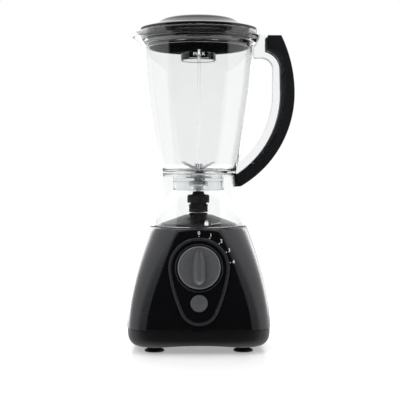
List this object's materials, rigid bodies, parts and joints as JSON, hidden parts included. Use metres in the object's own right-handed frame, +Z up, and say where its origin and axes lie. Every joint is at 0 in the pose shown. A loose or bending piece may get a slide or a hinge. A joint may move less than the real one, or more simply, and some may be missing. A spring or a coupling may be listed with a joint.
{
  "type": "countertop blender",
  "caption": "Countertop blender: motor base with speed knob and pulse button, lift-off clear jug with handle and blade unit, lid with clear measuring cap.",
  "frame": {"origin": "centre of the whole object's bounding box on the worktop, at the bottoms of the feet", "axes": "+Z up, -Y towards the user (controls), +X towards the jug's handle, -X towards the spout"},
  "size_m": [0.2022, 0.1877, 0.4],
  "materials": {
    "black_gloss_abs": "glossy black moulded ABS",
    "black_satin_abs": "satin black moulded ABS",
    "grey_control_abs": "satin dark grey ABS",
    "clear_san": "clear moulded SAN plastic",
    "black_rubber": "matt rubber",
    "grey_silicone": "translucent grey silicone",
    "stainless_steel": "brushed stainless steel",
    "silicon_steel": "dark lamination steel",
    "copper_winding": "enamelled copper",
    "sintered_bronze": "sintered bronze and brass",
    "carbon": "pressed carbon"
  },
  "bodies": {
    "base": {"front_panel": "black_gloss_abs", "control_dial": "black_gloss_abs", "motor_housing": "black_satin_abs", "bottom_cover": "black_satin_abs", "speed_switch": "black_satin_abs", "pulse_switch": "black_satin_abs", "foot_front_left": "black_rubber", "foot_front_right": "black_rubber", "foot_rear_left": "black_rubber", "foot_rear_right": "black_rubber", "cord_gland": "black_rubber", "splash_seal": "black_rubber", "button_spring": "stainless_steel", "cover_screw_front_left": "stainless_steel", "cover_screw_front_right": "stainless_steel", "cover_screw_rear_left": "stainless_steel", "cover_screw_rear_right": "stainless_steel", "upper_bearing": "stainless_steel", "lower_bearing": "stainless_steel", "motor_bolt_left": "stainless_steel", "motor_bolt_right": "stainless_steel", "stator_core": "silicon_steel", "upper_bracket": "silicon_steel", "lower_bracket": "silicon_steel", "field_coil_front": "copper_winding", "field_coil_rear": "copper_winding", "brush_holder_left": "sintered_bronze", "brush_holder_right": "sintered_bronze", "terminal_block": "sintered_bronze", "carbon_brush_left": "carbon", "carbon_brush_right": "carbon"},
    "knob": {"speed_knob": "grey_control_abs", "switch_spindle": "stainless_steel"},
    "pulse_key": {"pulse_button": "grey_control_abs"},
    "rotor": {"motor_shaft": "stainless_steel", "armature": "copper_winding", "commutator": "copper_winding", "cooling_fan": "black_satin_abs", "drive_coupling": "black_rubber"},
    "jug": {"jug": "clear_san", "handle_core": "clear_san", "handle_grip": "black_satin_abs", "handle_liner": "black_gloss_abs", "blade_carrier": "stainless_steel", "carrier_gasket": "grey_silicone", "carrier_nut": "stainless_steel", "shaft_bush": "sintered_bronze"},
    "blades": {"blade_shaft": "stainless_steel", "upper_blade": "stainless_steel", "lower_blade": "stainless_steel", "blade_nut": "stainless_steel", "driven_coupling": "black_rubber"},
    "lid": {"lid": "black_gloss_abs", "lid_seal": "black_rubber"},
    "cap": {"measuring_cap": "clear_san"}
  },
  "joints": [
    {"name": "jug_lift", "type": "slide", "parent": "base", "child": "jug", "axis": [0, 0, 1], "range_m": [0, 0.1]},
    {"name": "lid_lift", "type": "slide", "parent": "jug", "child": "lid", "axis": [0, 0, 1], "range_m": [0, 0.06]},
    {"name": "cap_lift", "type": "slide", "parent": "lid", "child": "cap", "axis": [0, 0, 1], "range_m": [0, 0.06]},
    {"name": "motor_spin", "type": "hinge", "parent": "base", "child": "rotor", "pos_m": [-0.01595, 0.00163, 0.12], "axis": [0, 0, 1], "continuous": true},
    {"name": "blade_spin", "type": "hinge", "parent": "jug", "child": "blades", "pos_m": [-0.01595, 0.00163, 0.2], "axis": [0, 0, 1], "continuous": true},
    {"name": "knob_turn", "type": "hinge", "parent": "base", "child": "knob", "pos_m": [-0.01595, -0.07233, 0.0986], "axis": [0, 0.9763, -0.2164], "range_deg": [0, 80]},
    {"name": "pulse_press", "type": "slide", "parent": "base", "child": "pulse_key", "axis": [0, 0.9763, -0.2164], "range_m": [0, 0.0025], "stiffness_N_per_m": 600, "springref_m": -0.002, "deforming": ["button_spring"]}
  ],
  "couplings": [
    {"joint": "blade_spin", "follows": "motor_spin", "ratio": 1}
  ]
}
